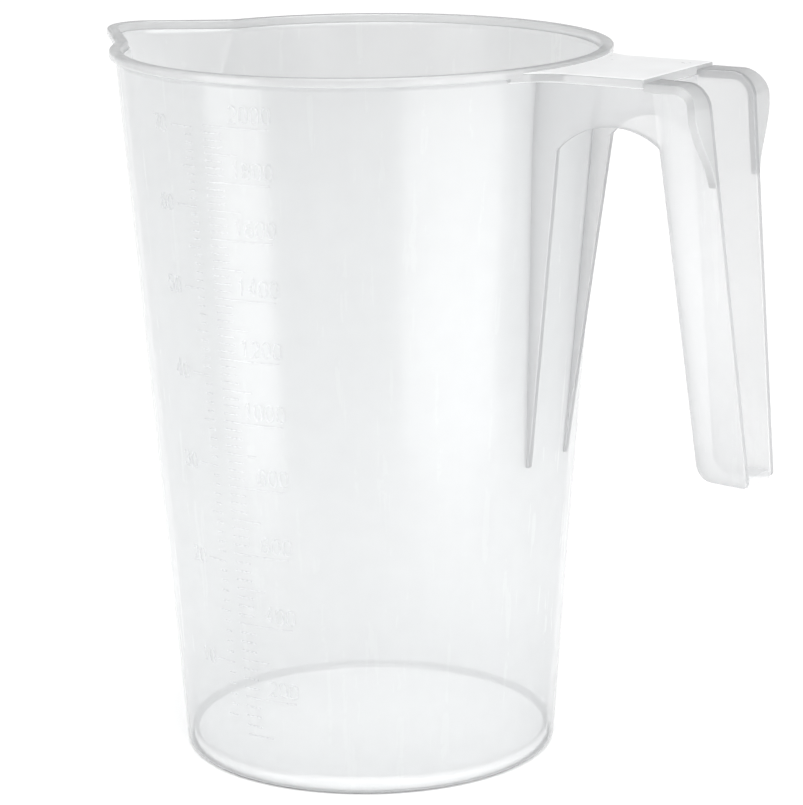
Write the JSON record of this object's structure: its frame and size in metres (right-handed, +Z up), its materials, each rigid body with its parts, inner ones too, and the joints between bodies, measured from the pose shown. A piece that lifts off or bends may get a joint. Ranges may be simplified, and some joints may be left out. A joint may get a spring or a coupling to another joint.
{
  "type": "measuring jug",
  "caption": "Graduated conical measuring jug in frosted plastic, with a pouring beak, raised volume scales on the side and an open channel handle hung from the rim",
  "frame": {"origin": "on the jug's axis at the plane it stands on", "axes": "+Z up along the jug's axis, +X towards the handle, -X towards the pouring beak, -Y towards the scales"},
  "size_m": [0.2102, 0.1404, 0.2031],
  "materials": {
    "jug_plastic": "frosted colourless polypropylene, faintly cool, light passes through the thin wall",
    "rim_plastic": "the same polypropylene, thicker and smoother at the rim",
    "handle_plastic": "the same polypropylene with polished edges",
    "scale_marks": "raised marks in the same plastic, polished on top"
  },
  "bodies": {
    "root": {"base_floor": "jug_plastic", "foot_ring": "jug_plastic", "body_wall": "jug_plastic", "rim_flange": "rim_plastic", "beak_shell": "jug_plastic", "beak_lip": "rim_plastic", "arm_plate": "handle_plastic", "arm_side_front": "handle_plastic", "arm_side_back": "handle_plastic", "wall_rib_front": "handle_plastic", "wall_rib_back": "handle_plastic", "grip_web": "handle_plastic", "grip_flange_front": "handle_plastic", "grip_flange_back": "handle_plastic", "grip_end_plate": "handle_plastic", "edge_lip_front": "handle_plastic", "edge_lip_back": "handle_plastic", "scale_ticks_millilitre": "scale_marks", "scale_ticks_ounce": "scale_marks", "scale_numerals": "scale_marks"}
  },
  "joints": []
}
